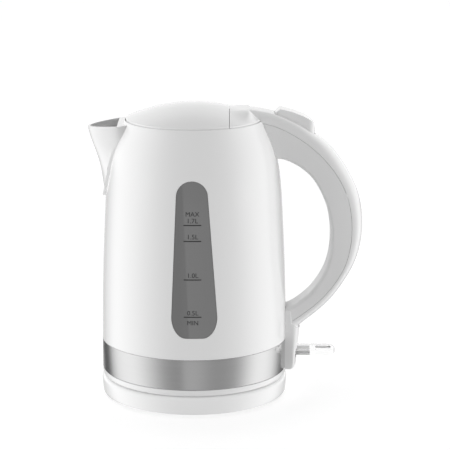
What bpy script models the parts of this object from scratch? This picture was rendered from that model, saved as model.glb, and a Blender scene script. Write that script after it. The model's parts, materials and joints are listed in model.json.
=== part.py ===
"""Cordless electric kettle on a round power base.

Frame: metres, +Z up, origin on the table under the base's vertical axis.
The handle points towards +X and the spout towards -X.
Dimensions below are in millimetres; every mesh is scaled by MM when it is made.
Heights named "_K" or passed through kettle_z() are measured from the kettle's own
bottom edge; heights passed through base_z() are measured from the base's rim plane.
"""
import math

import bmesh
import bpy
from mathutils import Matrix, Vector

MM = 0.001
GAP = 0.3
SEGMENTS = 40
FINE_SEGMENTS = 24

# Base
BASE_RIM_Z = 15.5
BASE_RADIUS = 76.2
BASE_FOOT_RADIUS = 74.9
BASE_BOTTOM_Z = 2.2
BASE_COVER_BOTTOM = 1.5
BASE_COVER_TOP = 3.4
BASE_WALL = 2.4
CONNECTOR_HOLE_RADIUS = 16.5
CONNECTOR_FLANGE_RADIUS = 18.8
CONNECTOR_NECK_RADIUS = 12.7
CONNECTOR_LIP_RADIUS = 13.2
CONNECTOR_TOP = 19.6
FOOT_CIRCLE = 58.0
FOOT_RADIUS = 8.0
FOOT_COUNT = 4
BASE_SCREW_CIRCLE = 38.0
SCREW_COUNT = 3
GLAND_Z = 8.7

# Kettle: the seated kettle's bottom edge is SEAT_Z above the table
SEAT_Z = BASE_RIM_Z + 1.8
WALL = 2.5
BODY_PROFILE = [(75.5, 30.2), (75.2, 48), (74.2, 90), (72.2, 134), (70.2, 163), (67.7, 178),
                (64.4, 190), (59.4, 202), (56.4, 209.5)]
RIM_TOP = 210.3
RIM_INNER_RADIUS = 55.2
BAND_RADIUS = 75.5
BAND_THICKNESS = 0.75
BAND_BOTTOM = 5.4
BAND_TOP = 29.9
SHELL_SKIRT_RADIUS = 74.4
PLATE_RADIUS = 69.0
PLATE_BOTTOM = 33.2
PLATE_TOP = 34.5

# Window in the front wall
WINDOW_BOTTOM = 47.7
WINDOW_TOP = 172.6
WINDOW_HALF_TOP = 12.5
WINDOW_HALF_BOTTOM = 18.1
WINDOW_LEAN = 1.2

# Lid and its hinge
LID_RADIUS = 54.6
LID_EDGE = 211.7
LID_APEX = 223.3
SEAM_X = 28.2
CAP_FRONT_X = 29.3
HINGE_X = 26.6
HINGE_Z = 217.6
HINGE_PIN_RADIUS = 0.9
EAR_INNER_Y = 8.6
EAR_OUTER_Y = 11.6

# Handle
HANDLE_HALF_WIDTH = 12.5
HANDLE_WALL = 2.4
HANDLE_INNER = [(69.3, 179.3), (81, 175.2), (92, 167.2), (103.2, 151.3), (109.6, 132), (111.2, 114.5),
                (108.6, 93.5), (97.8, 72.6), (87.5, 62.4), (77.5, 56.4)]
HANDLE_PARTING = [(60.0, 207.4), (79, 199.4), (97, 187), (113.5, 168.7), (125.2, 144), (127.9, 119),
                  (123.3, 91.5), (111.5, 72.2), (97.5, 57.4), (81, 45.4)]
HANDLE_OUTER = [(64, 216.4), (83, 207.9), (104, 195), (121.5, 174), (134.4, 146), (137.0, 118),
                (131.3, 93), (118.5, 69.8), (105.5, 55.2), (87.0, 39.6)]
COLUMN_HALF_WIDTH = 13.0
COLUMN_BOTTOM = 3.8
COLUMN_INNER_RADIUS = 75.95
COLUMN_END_X = 81.1
COLUMN_END_SLANT = 0.9

# Switch lever
LEVER_PIVOT_X = 79.5
LEVER_PIVOT_Z = 17.3
LEVER_TIP_X = 115.9
LEVER_HALF_WIDTH = 10.0
LEVER_THICKNESS = 4.0
LEVER_PIN_RADIUS = 1.0

# Lid release button and latch
BUTTON_FRONT_X = 66.0
BUTTON_REAR_X = 97.5
BUTTON_HALF_WIDTH = 8.5
LATCH_FRONT_X = 33.0
LATCH_BOTTOM = 205.0
LATCH_TOP = 208.3
LATCH_HALF_WIDTH = 4.0


def kettle_z(z):
    """Height above the table of a height above the seated kettle's bottom edge."""
    return z + SEAT_Z


def base_z(z):
    """Height above the table of a height above the base's rim plane."""
    return z + BASE_RIM_Z


# ---------------------------------------------------------------- helpers

def clear_scene():
    for item in list(bpy.data.objects):
        bpy.data.objects.remove(item, do_unlink=True)


def plastic(name, colour, roughness, metallic=0.0, transmission=0.0):
    """A Principled material."""
    material = bpy.data.materials.new(name)
    material.use_nodes = True
    shader = material.node_tree.nodes["Principled BSDF"]
    shader.inputs["Base Color"].default_value = (*colour, 1.0)
    shader.inputs["Roughness"].default_value = roughness
    shader.inputs["Metallic"].default_value = metallic
    shader.inputs["Transmission Weight"].default_value = transmission
    return material


def add_object(name, mesh_data, material, angle=35.0):
    """Wrap a bmesh in millimetres as a named object in metres."""
    bmesh.ops.recalc_face_normals(mesh_data, faces=mesh_data.faces)
    bmesh.ops.scale(mesh_data, vec=(MM, MM, MM), verts=mesh_data.verts)
    mesh = bpy.data.meshes.new(name)
    mesh_data.to_mesh(mesh)
    mesh_data.free()
    mesh.shade_smooth()
    mesh.set_sharp_from_angle(angle=math.radians(angle))
    item = bpy.data.objects.new(name, mesh)
    bpy.context.scene.collection.objects.link(item)
    if material is not None:
        mesh.materials.append(material)
    return item


def loft(rings, closed_ends=True, loop=False):
    """Skin a list of rings, each a list of points in millimetres, and cap the two ends."""
    data = bmesh.new()
    rows = [[data.verts.new(point) for point in ring] for ring in rings]
    count = len(rows[0])
    pairs = list(zip(rows, rows[1:]))
    if loop:
        pairs.append((rows[-1], rows[0]))
    for low, high in pairs:
        for i in range(count):
            j = (i + 1) % count
            data.faces.new((low[i], low[j], high[j], high[i]))
    if closed_ends and not loop:
        data.faces.new(rows[0][::-1])
        data.faces.new(rows[-1])
    bmesh.ops.triangulate(data, faces=[face for face in data.faces if len(face.verts) > 4])
    return data


def turned(profile, segments=SEGMENTS):
    """Turn a closed (radius, height) outline about Z; points on the axis become one vertex."""
    data = bmesh.new()
    columns = []
    for radius, height in profile:
        if radius < 1e-6:
            columns.append([data.verts.new((0.0, 0.0, height))])
            continue
        ring = []
        for i in range(segments):
            angle = 2.0 * math.pi * i / segments
            ring.append(data.verts.new((radius * math.cos(angle), radius * math.sin(angle), height)))
        columns.append(ring)
    for first, second in zip(columns, columns[1:] + columns[:1]):
        if len(first) == 1 and len(second) == 1:
            continue
        for i in range(segments):
            j = (i + 1) % segments
            corners = [first[0]] if len(first) == 1 else [first[i], first[j]]
            corners += [second[0]] if len(second) == 1 else [second[j], second[i]]
            data.faces.new(corners)
    return data


def prism(outline, low, high, axis="Z"):
    """Extrude an outline between two values of one axis.

    The outline's points are (x, y) for Z, (x, z) for Y and (y, z) for X.
    """
    def place(a, b, value):
        if axis == "Z":
            return (a, b, value)
        if axis == "Y":
            return (a, value, b)
        return (value, a, b)
    return loft([[place(a, b, value) for a, b in outline] for value in (low, high)])


def block(x_range, y_range, z_range, bevel=0.0):
    """A box given by its three ranges, with optional bevelled edges."""
    x_low, x_high = x_range
    y_low, y_high = y_range
    outline = [(x_low, y_low), (x_high, y_low), (x_high, y_high), (x_low, y_high)]
    data = prism(outline, *z_range)
    if bevel > 0.0:
        bmesh.ops.bevel(data, geom=list(data.edges), offset=bevel, segments=1, affect="EDGES")
    return data


def rod(radius, low, high, segments=16, bore=0.0):
    """A cylinder about Z, or a tube when bore is given."""
    if bore > 0.0:
        return turned([(bore, low), (radius, low), (radius, high), (bore, high)], segments)
    return turned([(0, low), (radius, low), (radius, high), (0, high)], segments)


def moved(data, x=0.0, y=0.0, z=0.0, about=None, degrees=0.0):
    """Rotate a bmesh about a world axis through the origin, then shift it."""
    if about is not None:
        turn = Matrix.Rotation(math.radians(degrees), 3, about)
        bmesh.ops.rotate(data, cent=(0, 0, 0), matrix=turn, verts=data.verts)
    bmesh.ops.translate(data, vec=(x, y, z), verts=data.verts)
    return data


def merged(parts):
    """Put several separate solids into one bmesh, to cut with all of them at once."""
    result = bmesh.new()
    for part in parts:
        copies = {vertex: result.verts.new(vertex.co) for vertex in part.verts}
        for face in part.faces:
            result.faces.new([copies[vertex] for vertex in face.verts])
        part.free()
    return result


def along_y(data, x, z, y=0.0):
    """Lay a piece made about Z along +Y at (x, z)."""
    return moved(data, x=x, y=y, z=z, about="X", degrees=-90.0)


def along_x(data, y, z, x=0.0):
    """Lay a piece made about Z along +X at (y, z)."""
    return moved(data, x=x, y=y, z=z, about="Y", degrees=90.0)


def boolean(target, data, operation="DIFFERENCE"):
    """Cut, join or intersect a target with a hidden helper solid."""
    helper = add_object("cutter_" + target.name, data, None)
    helper.hide_render = True
    helper.display_type = "WIRE"
    modifier = target.modifiers.new(operation.lower(), "BOOLEAN")
    modifier.operation = operation
    modifier.solver = "EXACT"
    modifier.object = helper
    return target


def spline_point(points, parameter):
    """Catmull-Rom point on a control polygon, parameter from 0 to 1."""
    spans = len(points) - 1
    position = min(max(parameter, 0.0), 1.0) * spans
    index = min(int(position), spans - 1)
    t = position - index
    first = Vector(points[index])
    last = Vector(points[index + 1])
    before = Vector(points[index - 1]) if index > 0 else first * 2.0 - last
    after = Vector(points[index + 2]) if index < spans - 1 else last * 2.0 - first
    return 0.5 * ((first * 2.0) + (last - before) * t
                  + (before * 2.0 - first * 5.0 + last * 4.0 - after) * t * t
                  + (first * 3.0 - before - last * 3.0 + after) * t ** 3)


def body_radius(height):
    """Outer radius of the kettle wall at a height above its bottom edge."""
    for (r_low, z_low), (r_high, z_high) in zip(BODY_PROFILE, BODY_PROFILE[1:]):
        if height <= z_high:
            t = max(0.0, (height - z_low) / (z_high - z_low))
            return r_low + (r_high - r_low) * t
    return BODY_PROFILE[-1][0]


def dome_height(radius):
    """Height of the lid's outer surface at a radius, above the kettle's bottom edge."""
    return LID_APEX - (LID_APEX - LID_EDGE) * (radius / LID_RADIUS) ** 2


def lift_outline(profile):
    """Shift a (radius, kettle height) outline to heights above the table."""
    return [(radius, kettle_z(height)) for radius, height in profile]


def tube(name, points, radius, material, sides=2):
    """A round wire or pipe along a polyline."""
    curve = bpy.data.curves.new(name, "CURVE")
    curve.dimensions = "3D"
    curve.bevel_depth = radius * MM
    curve.bevel_resolution = sides
    curve.use_fill_caps = True
    curve.render_resolution_u = 0
    spline = curve.splines.new("POLY")
    spline.points.add(len(points) - 1)
    for spline_vertex, point in zip(spline.points, points):
        spline_vertex.co = (point[0] * MM, point[1] * MM, point[2] * MM, 1.0)
    item = bpy.data.objects.new(name, curve)
    bpy.context.scene.collection.objects.link(item)
    curve.materials.append(material)
    return item


# ---------------------------------------------------------------- materials

def make_materials():
    return {
        "white": plastic("white_plastic", (0.87, 0.87, 0.87), 0.16),
        "grip": plastic("handle_plastic", (0.72, 0.72, 0.72), 0.35),
        "base": plastic("base_plastic", (0.84, 0.84, 0.84), 0.25),
        "steel": plastic("brushed_steel", (0.62, 0.62, 0.62), 0.3, metallic=1.0),
        "dark_steel": plastic("spring_steel", (0.4, 0.4, 0.42), 0.35, metallic=1.0),
        "brass": plastic("brass", (0.75, 0.58, 0.28), 0.3, metallic=1.0),
        "black": plastic("black_plastic", (0.03, 0.03, 0.03), 0.4),
        "rubber": plastic("rubber", (0.55, 0.55, 0.56), 0.8),
        "silicone": plastic("silicone", (0.8, 0.8, 0.8), 0.6),
        "window": plastic("smoked_window", (0.3, 0.3, 0.3), 0.1, transmission=0.4),
        "clear": plastic("clear_acrylic", (0.95, 0.95, 0.95), 0.03, transmission=1.0),
        "lamp": plastic("neon_lamp", (0.9, 0.45, 0.2), 0.2, transmission=0.5),
        "wire": plastic("wire_insulation", (0.25, 0.3, 0.6), 0.5),
        "filter": plastic("filter_mesh", (0.9, 0.9, 0.9), 0.7),
    }


# ---------------------------------------------------------------- base

def ring_points(count, radius, start_degrees):
    """Points evenly spaced on a circle about Z."""
    points = []
    for i in range(count):
        angle = math.radians(start_degrees + 360.0 * i / count)
        points.append((radius * math.cos(angle), radius * math.sin(angle)))
    return points


def make_base_covers(mats):
    """Top cover: an upturned dish with a raised centre. Bottom cover: a flat disc."""
    bottom = BASE_BOTTOM_Z - BASE_RIM_Z
    outer = [(BASE_FOOT_RADIUS, bottom), (BASE_RADIUS, -1.4), (75.7, 0.2), (74.2, 1.0), (64.2, 1.2),
             (48, 1.2), (40, 3.1), (33, 5.0), (27.5, 5.6), (27.0, 6.1), (CONNECTOR_HOLE_RADIUS, 6.2)]
    inner = [(CONNECTOR_HOLE_RADIUS, 3.8), (33, 2.6), (48, -1.2), (72.5, -1.2), (73.4, -3.0),
             (BASE_FOOT_RADIUS - BASE_WALL + 0.6, bottom)]
    profile = [(radius, base_z(height)) for radius, height in outer + inner]
    top = add_object("base_top_cover", turned(profile), mats["base"])
    boolean(top, along_y(rod(4.8, 68, 80), 0.0, GLAND_Z))

    disc = rod(BASE_FOOT_RADIUS - BASE_WALL + 0.2, BASE_COVER_BOTTOM, BASE_COVER_TOP, SEGMENTS)
    cover = add_object("base_bottom_cover", disc, mats["base"])
    holes = [moved(rod(FOOT_RADIUS - 1.0 + GAP, -2, 8, 20), x, y)
             for x, y in ring_points(FOOT_COUNT, FOOT_CIRCLE, 45.0)]
    holes += [moved(rod(3.4, -2, 8), x, y) for x, y in ring_points(SCREW_COUNT, BASE_SCREW_CIRCLE, 30.0)]
    boolean(cover, merged(holes))


def make_base_connector(mats):
    """Round male connector with a ring groove and a centre hole, and its two contacts."""
    profile = [(0, -9), (16.0, -9), (16.0, 6.6), (CONNECTOR_FLANGE_RADIUS, 6.6),
               (CONNECTOR_FLANGE_RADIUS, 7.3), (17.0, 8.3), (14.2, 10.3), (12.9, 11.9),
               (CONNECTOR_NECK_RADIUS, 12.6), (CONNECTOR_NECK_RADIUS, 17.8),
               (CONNECTOR_LIP_RADIUS, 18.3), (CONNECTOR_LIP_RADIUS, 19.1), (12.7, CONNECTOR_TOP),
               (8.6, CONNECTOR_TOP), (8.4, 19.3), (8.4, 10.0), (6.2, 10.0), (6.2, 19.0), (5.9, 19.3),
               (1.9, 19.3), (1.8, 19.0), (1.8, 8.0), (0, 8.0)]
    shifted = [(radius, base_z(height)) for radius, height in profile]
    add_object("base_connector", turned(shifted, FINE_SEGMENTS), mats["black"])
    contact = rod(8.1, base_z(10.3), base_z(11.4), FINE_SEGMENTS, bore=6.5)
    add_object("connector_ring_contact", contact, mats["brass"])
    add_object("connector_pin_contact", rod(1.4, base_z(8.3), base_z(10.0)), mats["brass"])


def make_base_fittings(mats):
    """Feet pushed through the bottom cover, screws, cord gland, terminal block and wires."""
    for i, (x, y) in enumerate(ring_points(FOOT_COUNT, FOOT_CIRCLE, 45.0), start=1):
        profile = [(0, 0), (FOOT_RADIUS - 1.4, 0), (FOOT_RADIUS - 1.0, 0.4),
                   (FOOT_RADIUS - 1.0, BASE_COVER_TOP + GAP), (FOOT_RADIUS, BASE_COVER_TOP + GAP),
                   (FOOT_RADIUS, BASE_COVER_TOP + 1.4), (0, BASE_COVER_TOP + 1.4)]
        add_object(f"base_foot_{i}", moved(turned(profile, 20), x, y), mats["rubber"])
    for i, (x, y) in enumerate(ring_points(SCREW_COUNT, BASE_SCREW_CIRCLE, 30.0), start=1):
        profile = [(0, 2.0), (3.0, 2.0), (3.0, 3.6), (1.5, 4.6), (1.5, 12.0), (0, 13.0)]
        add_object(f"base_screw_{i}", moved(turned(profile, 14), x, y), mats["dark_steel"])
    gland = [(3.0, 68.5), (5.0, 68.5), (5.0, 70.5), (4.4, 70.5), (4.4, 76.6), (5.6, 76.6), (5.6, 78.0),
             (3.0, 78.0)]
    add_object("cord_gland", along_y(turned(gland, 18), 0.0, GLAND_Z), mats["rubber"])
    add_object("base_terminal_block", block((-13, 13), (44, 56), (4.2, 10.5), 0.6), mats["black"])
    for name, x in (("live", -8.0), ("neutral", 0.0), ("earth", 8.0)):
        path = [(x, 43.6, 7.6), (x, 36.0, 7.9), (x * 0.9, 28.0, 8.2), (x * 0.7, 20.0, 8.4),
                (x * 0.62, 16.6, 8.4)]
        tube(f"{name}_wire", path, 1.0, mats["wire"])


# ---------------------------------------------------------------- kettle jug

def spout_section(height, wall, shoulder=True):
    """Horizontal outline of the beak at a height; wall shrinks it to the inner surface."""
    keel = [(147.5, -71.2, 0.6), (151, -71.9, 9.5), (158, -73.2, 15.5), (168, -74.6, 18.3), (180, -77.5, 19.0),
            (190, -81.0, 20.3), (200, -84.3, 22.6), (205, -85.3, 24.0), (214, -86.6, 25.5)]
    for (z_low, x_low, w_low), (z_high, x_high, w_high) in zip(keel, keel[1:]):
        if height <= z_high:
            break
    t = (height - z_low) / (z_high - z_low)
    tip = x_low + (x_high - x_low) * t + wall * 1.1
    half = max(w_low + (w_high - w_low) * t - wall, 0.5)
    root = max(-math.sqrt(max(body_radius(height) ** 2 - half ** 2, 0.0)), -90.0)
    root = min(root, -60.0) if height > 196 else root
    steps = 5
    outline = []
    for i in range(-steps, steps + 1):
        s = i / steps
        outline.append((tip + (root - tip) * s * s, half * s))
    if shoulder:
        outline.append((-44.0, half * 0.8))
        outline.insert(0, (-44.0, -half * 0.8))
    return outline


def spout_lip(x):
    """Height of the beak's top edge, rising from the tip towards the body."""
    return 204.9 + (x + 85.3) * 0.11


def make_body_shell(mats):
    """White jug wall with the beak, an open top, an open bottom and its cut-outs."""
    outer = [(SHELL_SKIRT_RADIUS, 5.7), (SHELL_SKIRT_RADIUS, 30.2)] + BODY_PROFILE
    outer += [(56.0, RIM_TOP), (RIM_INNER_RADIUS, RIM_TOP)]
    solid = lift_outline([(0, 5.7)] + outer + [(0, RIM_TOP)])
    shell = add_object("body_shell", turned(solid), mats["white"])

    levels = [147.5, 151, 158, 168, 180, 190, 199]
    rings = [[(x, y, kettle_z(z)) for x, y in spout_section(z, 0.0)] for z in levels]
    rings.append([(x, y, kettle_z(spout_lip(x))) for x, y in spout_section(205, 0.0)])
    boolean(shell, loft(rings), "UNION")

    inner = [(radius - WALL, height) for radius, height in BODY_PROFILE if 48 <= height < 205]
    cavity = [(0, 2), (72.6, 2), (72.6, 35.4), (70.4, 35.4), (70.4, 37.0), (72.9, 37.0)] + inner
    cavity += [(RIM_INNER_RADIUS, 206.0), (RIM_INNER_RADIUS, 216), (0, 216)]
    boolean(shell, turned(lift_outline(cavity)))

    levels = [160, 168, 180, 190, 199, 205]
    rings = [[(x, y, kettle_z(z)) for x, y in spout_section(z, 2.2)] for z in levels]
    boolean(shell, loft(rings))
    mouth = [(x, y) for x, y in spout_section(205, 2.2, shoulder=False) if x < -59.5]
    boolean(shell, prism(mouth, kettle_z(202.5), kettle_z(216)))

    boolean(shell, window_prism(0.0, -82.0, -60.0))
    boolean(shell, block((64, 82), (-10.9, 10.9), (kettle_z(8), kettle_z(27.0))))
    boolean(shell, block((50, 64), (-4.6, 4.6), (kettle_z(204.4), kettle_z(216))))
    for height in (192.0, 50.5):
        boolean(shell, along_x(rod(2.5, 50, 84, 14), 0.0, kettle_z(height)))


def window_prism(inset, y_low, y_high):
    """The window's outline, leaning slightly and wider at the bottom, extruded along Y."""
    low = WINDOW_BOTTOM + inset
    high = WINDOW_TOP - inset
    top_half = WINDOW_HALF_TOP - inset
    low_half = WINDOW_HALF_BOTTOM - inset
    corner = 10.5
    outline = []
    for i in range(9):
        angle = math.pi * i / 8
        outline.append((-0.4 + top_half * math.cos(angle), high - top_half + top_half * math.sin(angle)))
    for i in range(5):
        angle = math.pi * (1.0 + i / 8)
        x = WINDOW_LEAN - low_half + corner + corner * math.cos(angle)
        outline.append((x, low + corner + corner * math.sin(angle)))
    for i in range(5):
        angle = math.pi * (1.5 + i / 8)
        x = WINDOW_LEAN + low_half - corner + corner * math.cos(angle)
        outline.append((x, low + corner + corner * math.sin(angle)))
    return prism([(x, kettle_z(z)) for x, z in outline], y_low, y_high, "Y")


def make_window(mats):
    """Smoked water-level window that follows the wall."""
    outer = [(radius - 0.05, height) for radius, height in BODY_PROFILE if height < 188]
    inner = [(radius - 2.3, height) for radius, height in reversed(BODY_PROFILE) if height < 188]
    lens = add_object("window_lens", turned(lift_outline(outer + inner)), mats["window"])
    boolean(lens, window_prism(0.35, -82.0, -60.0), "INTERSECT")


def make_bottom(mats):
    """Steel band, bottom cover, heating plate, seal, element and controller."""
    band = [(BAND_RADIUS - BAND_THICKNESS, BAND_BOTTOM), (BAND_RADIUS, BAND_BOTTOM), (BAND_RADIUS, BAND_TOP),
            (BAND_RADIUS - BAND_THICKNESS, BAND_TOP)]
    band_object = add_object("steel_band", turned(lift_outline(band)), mats["steel"])
    boolean(band_object, block((60, 82), (-11.2, 11.2), (kettle_z(0), kettle_z(40))))

    cover = [(70.5, 0), (74.3, 0), (75.2, 0.9), (75.4, 2.4), (75.4, 5.1), (50, 5.1), (31, 9.4), (23, 9.4),
             (23, 7.4), (31, 7.4), (50, 3.1), (70.5, 3.1)]
    cover_object = add_object("kettle_bottom_cover", turned(lift_outline(cover)), mats["white"])
    holes = [moved(rod(1.9, kettle_z(1), kettle_z(8)), x, y) for x, y in ring_points(SCREW_COUNT, 60.0, 60.0)]
    boolean(cover_object, merged(holes))
    for i, (x, y) in enumerate(ring_points(SCREW_COUNT, 60.0, 60.0), start=1):
        profile = lift_outline([(0, 1.2), (3.0, 1.2), (3.0, 2.7), (1.5, 2.8), (1.5, 12.0), (0, 13.0)])
        add_object(f"kettle_screw_{i}", moved(turned(profile, 14), x, y), mats["dark_steel"])

    plate = rod(PLATE_RADIUS, kettle_z(PLATE_BOTTOM), kettle_z(PLATE_TOP), SEGMENTS)
    add_object("heating_plate", plate, mats["steel"])
    seal = rod(72.3, kettle_z(31.4), kettle_z(35.1), SEGMENTS, bore=PLATE_RADIUS + GAP)
    add_object("plate_seal", seal, mats["silicone"])
    element = []
    for i in range(29):
        angle = math.radians(20 + 320 * i / 28)
        element.append((47 * math.cos(angle), 47 * math.sin(angle), kettle_z(29.0)))
    tube("heating_element", element, 3.6, mats["dark_steel"])
    body = [(0, 22.5), (30, 22.5), (30, 29.0), (26, 30.3), (0, 30.3)]
    add_object("thermal_controller", turned(lift_outline(body), FINE_SEGMENTS), mats["black"])
    for i, x in enumerate((-14.0, 14.0), start=1):
        disc = [(0, 31.2), (8.5, 30.7), (8.5, 31.1), (0, 31.8)]
        add_object(f"bimetal_disc_{i}", moved(turned(lift_outline(disc), 20), x), mats["steel"])


def make_socket(mats):
    """Round female connector under the kettle, with its pin and ring blade."""
    cup = [(0, 18.6), (13.9, 18.6), (13.9, 11.2), (19.6, 5.9), (19.6, 4.6), (21.5, 4.6), (21.5, 22.0), (0, 22.0)]
    add_object("power_socket", turned(lift_outline(cup), FINE_SEGMENTS), mats["black"])
    add_object("socket_pin", rod(1.1, kettle_z(12.0), kettle_z(18.3)), mats["brass"])
    blade = rod(7.7, kettle_z(12.5), kettle_z(18.3), FINE_SEGMENTS, bore=6.95)
    add_object("socket_ring_blade", blade, mats["brass"])


def make_inner_fittings(mats):
    """Steam tube inside the rear wall and the scale filter behind the beak."""
    offset = 14.0
    path = [(61.5, offset, kettle_z(z)) for z in (36.5, 60, 90, 120, 150, 166)]
    path += [(58.5, offset, kettle_z(178)), (54.5, offset, kettle_z(187)), (49.0, offset, kettle_z(196.5))]
    tube("steam_tube", path, 3.5, mats["grip"])
    frame = block((-51.0, -48.8), (-19.5, 19.5), (kettle_z(164), kettle_z(201)), 0.4)
    frame_object = add_object("filter_frame", frame, mats["white"])
    boolean(frame_object, block((-54, -46), (-16.5, 16.5), (kettle_z(167), kettle_z(198))))
    mesh = block((-50.2, -49.6), (-16.2, 16.2), (kettle_z(167.3), kettle_z(197.7)))
    add_object("filter_mesh", mesh, mats["filter"])


# ---------------------------------------------------------------- handle

def handle_ring(parameter, near, far, open_side):
    """Channel section of the handle between two side curves, open at the near or far one."""
    a = spline_point(near, parameter)
    b = spline_point(far, parameter)
    across = b - a
    length = across.length
    across.normalize()
    width = HANDLE_HALF_WIDTH
    wall = HANDLE_WALL
    chamfer = 2.2
    if open_side == "far":
        shape = [(length, width), (chamfer, width), (0, width - chamfer), (0, chamfer - width),
                 (chamfer, -width), (length, -width), (length, wall - width), (wall, wall - width),
                 (wall, width - wall), (length, width - wall)]
    else:
        shape = [(0, width), (length - chamfer, width), (length, width - chamfer), (length, chamfer - width),
                 (length - chamfer, -width), (0, -width), (0, wall - width), (length - wall, wall - width),
                 (length - wall, width - wall), (0, width - wall)]
    return [(a.x + across.x * n, y, kettle_z(a.y + across.y * n)) for n, y in shape]


def column_ring(height, rear, slant=0.0):
    """Plan outline of the switch column: a concave front that hugs the jug and a rounded rear.

    A slant lowers the rear of the outline, where the column ends under the handle cover.
    """
    half = COLUMN_HALF_WIDTH
    outline = []
    for i in range(-3, 4):
        y = half * i / 3
        outline.append((math.sqrt(COLUMN_INNER_RADIUS ** 2 - y * y), y))
    side_x = min(80.8, rear - 3.0)
    corner = [(side_x, half), (rear - 2.2, half - 1.8), (rear - 0.6, half - 4.8), (rear, half - 8.5)]
    outline += corner + [(x, -y) for x, y in reversed(corner)]
    return [(x, y, kettle_z(height - slant * max(0.0, x - COLUMN_END_X))) for x, y in outline]


def make_handle_frame(mats):
    """Inner half of the handle in one moulding with the switch column below it."""
    stations = [handle_ring(i / 22, HANDLE_INNER, HANDLE_PARTING, "far") for i in range(23)]
    frame = add_object("handle_frame", loft(stations), mats["grip"])
    levels = ((COLUMN_BOTTOM, 82.6), (5.2, 84.2), (9, 85.0), (22, 86.2), (34, 87.4))
    rings = [column_ring(height, rear) for height, rear in levels]
    rings.append(column_ring(41.6, 87.7, COLUMN_END_SLANT))
    rings += [column_ring(42.0, COLUMN_END_X), column_ring(52.0, COLUMN_END_X)]
    boolean(frame, loft(rings), "UNION")
    boolean(frame, block((70, 83.0), (-10.6, 10.6), (kettle_z(9), kettle_z(28))))
    boolean(frame, block((80, 92), (-10.4, 10.4), (kettle_z(13.4), kettle_z(20.0))))
    boolean(frame, along_y(rod(LEVER_PIN_RADIUS + 0.3, -12.4, 12.4, 14), LEVER_PIVOT_X, kettle_z(LEVER_PIVOT_Z)))
    boolean(frame, along_x(rod(2.5, 60, 73.5, 14), 0.0, kettle_z(192.0)))
    boolean(frame, along_x(rod(2.5, 70, 84, 14), 0.0, kettle_z(50.5)))


def make_handle_cover(mats):
    """Outer half of the handle in one moulding with the fixed cap behind the lid."""
    cover_near = [(x + dx, z + dz) for (x, z), (dx, dz) in zip(HANDLE_PARTING, cover_gap())]
    stations = [handle_ring(i / 22, cover_near, HANDLE_OUTER, "near") for i in range(23)]
    cover = add_object("handle_cover", loft(stations), mats["white"])
    top_line = [(31.5, 219.3), (45.0, 219.4), (52.5, 218.6), (58.9, 217.6), (64.6, 216.0)]
    low_line = [(65.0, 211.2), (52.0, 210.9), (40.0, 212.5), (31.0, 212.5)]
    outline = [(x, kettle_z(z)) for x, z in top_line + low_line]
    boolean(cover, prism(outline, -HANDLE_HALF_WIDTH + 0.4, HANDLE_HALF_WIDTH - 0.4, "Y"), "UNION")
    boolean(cover, cap_segment(), "UNION")
    hinge_z = kettle_z(HINGE_Z)
    boolean(cover, along_y(rod(3.3, -40, 40, 20), HINGE_X, hinge_z))
    for low, high in ((-EAR_OUTER_Y, -EAR_INNER_Y), (EAR_INNER_Y, EAR_OUTER_Y)):
        boolean(cover, prism(ear_outline(), low, high, "Y"), "UNION")
    boolean(cover, along_y(rod(HINGE_PIN_RADIUS + 0.3, -14, 14, 14), HINGE_X, hinge_z))
    boolean(cover, prism(button_outline(GAP + 0.1, 12.0, 8.0), -BUTTON_HALF_WIDTH - 0.4,
                         BUTTON_HALF_WIDTH + 0.4, "Y"))


def cover_gap():
    """Offsets that part the cover from the frame along the parting line, outwards."""
    centre = Vector((62.0, 122.0))
    offsets = []
    for point in HANDLE_PARTING:
        away = (Vector(point) - centre).normalized() * (GAP + 0.15)
        offsets.append((away.x, away.y))
    return offsets


def cap_segment():
    """Dome segment between the lid's rear edge and the rim."""
    steps = 7
    outer = []
    for i in range(steps + 1):
        radius = 20.0 + (LID_RADIUS - 20.0) * i / steps
        outer.append((radius, dome_height(radius)))
    inner = [(radius - 0.4, height - WALL) for radius, height in reversed(outer)]
    data = turned(lift_outline([(LID_RADIUS, 210.7)] + outer[::-1] + inner[::-1][:-1] + [(51.5, 210.7)]))
    keep = [vertex for vertex in data.verts]
    geometry = keep + list(data.edges) + list(data.faces)
    cut = bmesh.ops.bisect_plane(data, geom=geometry, plane_co=(CAP_FRONT_X, 0, 0), plane_no=(-1, 0, 0),
                                 clear_outer=True)
    edges = [item for item in cut["geom_cut"] if isinstance(item, bmesh.types.BMEdge)]
    bmesh.ops.edgenet_fill(data, edges=edges)
    bmesh.ops.triangulate(data, faces=[face for face in data.faces if len(face.verts) > 4])
    return data


def ear_outline():
    """Hinge ear reaching forward from under the cap to the hinge pin."""
    radius = 2.0
    points = [(33.0, kettle_z(215.5)), (30.4, kettle_z(215.2))]
    for i in range(9):
        angle = math.radians(-10 + 200 * i / 8)
        points.append((HINGE_X + radius * math.cos(angle), kettle_z(HINGE_Z) + radius * math.sin(angle)))
    points += [(25.4, kettle_z(215.6)), (29.6, kettle_z(212.6)), (33.0, kettle_z(212.6))]
    return points


def button_outline(grow, below, above):
    """Side outline of the lid button; below and above set how far it reaches from the surface."""
    front = BUTTON_FRONT_X - grow
    rear = BUTTON_REAR_X + grow
    if above > 7.0:
        top = [(rear, kettle_z(228)), (front, kettle_z(228))]
    else:
        top = [(97.5, kettle_z(202.5)), (96.8, kettle_z(207.3)), (93.8, kettle_z(210.4)),
               (88.5, kettle_z(213.5)), (80.0, kettle_z(216.8)), (70.0, kettle_z(219.2)), (66.8, kettle_z(216.6))]
    bottom = [(front, kettle_z(213.6 - below)), (rear, kettle_z(200.0 - below))]
    return bottom + top


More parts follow.
